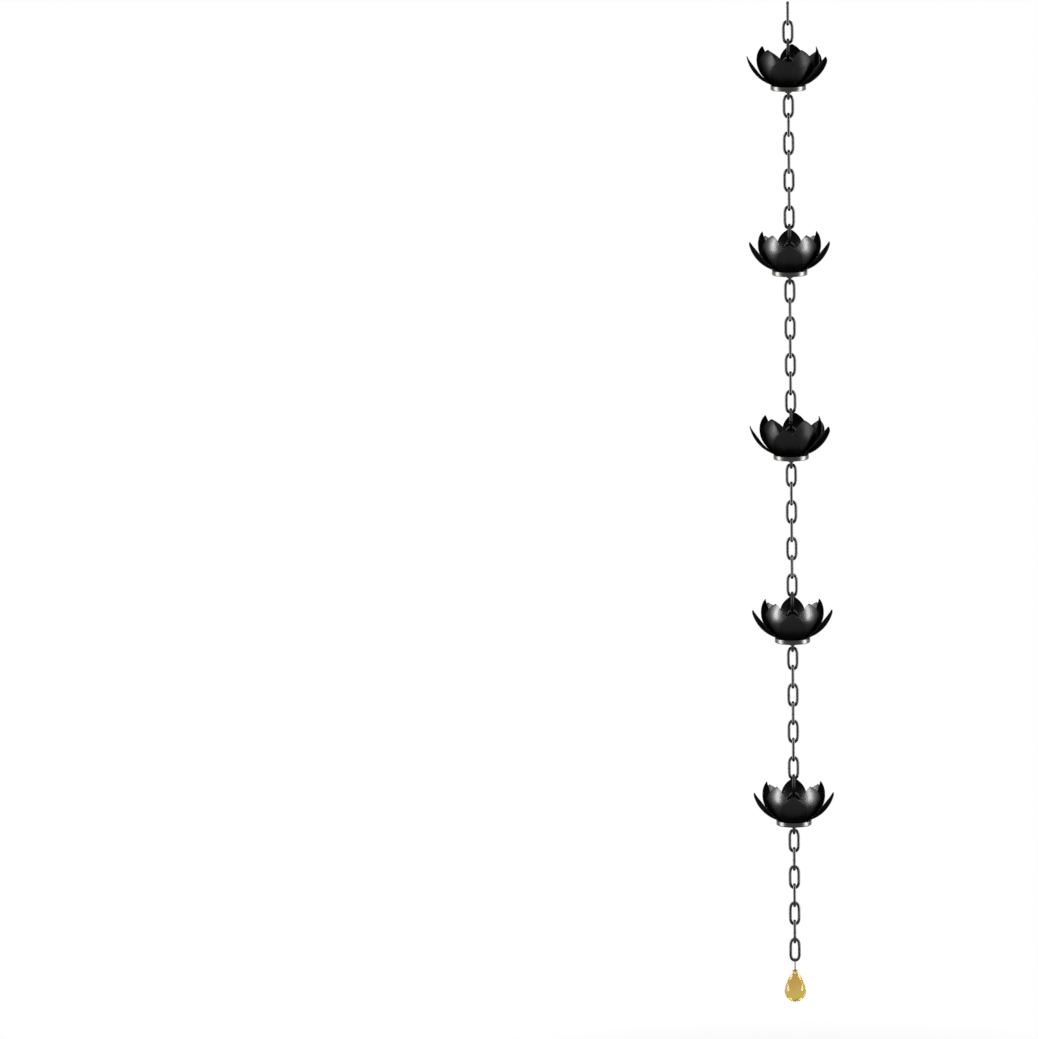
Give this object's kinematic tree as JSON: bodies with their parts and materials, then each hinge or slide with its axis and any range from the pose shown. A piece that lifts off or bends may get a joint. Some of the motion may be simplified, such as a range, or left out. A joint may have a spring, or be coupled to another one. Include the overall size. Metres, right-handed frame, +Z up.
{
  "type": "rain chain",
  "caption": "Hanging rain chain of oval welded links with two-layer lotus cups along it and a small cut-glass drop at its lower end.",
  "frame": {"origin": "where a hook bears, under the upper bow of the top link", "axes": "+Z up along the hanging chain, front towards -Y, +X to the viewer's right"},
  "size_m": [0.1355, 0.1335, 1.6824],
  "materials": {
    "petal_black": "satin black finish on formed sheet steel",
    "collar_gunmetal": "half-gloss dark grey coating on a pressed steel band",
    "link_black": "glossy black coating on welded steel wire",
    "bar_steel": "black coating on steel bar",
    "ring_steel": "plain drawn steel wire, dulled",
    "amber_glass": "cut and polished amber glass"
  },
  "bodies": {
    "root": {"cup_1_collar": "collar_gunmetal", "cup_1_inner_petals": "petal_black", "cup_1_links": "link_black", "cup_1_outer_petals": "petal_black", "cup_2_collar": "collar_gunmetal", "cup_2_inner_petals": "petal_black", "cup_2_links": "link_black", "cup_2_outer_petals": "petal_black", "cup_3_collar": "collar_gunmetal", "cup_3_inner_petals": "petal_black", "cup_3_links": "link_black", "cup_3_outer_petals": "petal_black", "cup_4_collar": "collar_gunmetal", "cup_4_inner_petals": "petal_black", "cup_4_links": "link_black", "cup_4_outer_petals": "petal_black", "cup_5_collar": "collar_gunmetal", "cup_5_inner_petals": "petal_black", "cup_5_links": "link_black", "cup_5_outer_petals": "petal_black", "drop_ring": "ring_steel", "glass_drop": "amber_glass", "hanger_bars": "bar_steel", "link_01": "link_black", "link_02": "link_black", "link_06": "link_black", "link_07": "link_black", "link_08": "link_black", "link_09": "link_black", "link_10": "link_black", "link_11": "link_black", "link_12": "link_black", "link_16": "link_black", "link_17": "link_black", "link_18": "link_black", "link_19": "link_black", "link_20": "link_black", "link_21": "link_black", "link_22": "link_black", "link_26": "link_black", "link_27": "link_black", "link_28": "link_black", "link_29": "link_black", "link_30": "link_black", "link_31": "link_black", "link_32": "link_black", "link_36": "link_black", "link_37": "link_black", "link_38": "link_black", "link_39": "link_black", "link_40": "link_black", "link_41": "link_black", "link_42": "link_black", "link_46": "link_black", "link_47": "link_black", "link_48": "link_black", "link_49": "link_black", "link_50": "link_black", "link_51": "link_black", "link_52": "link_black"}
  },
  "joints": []
}
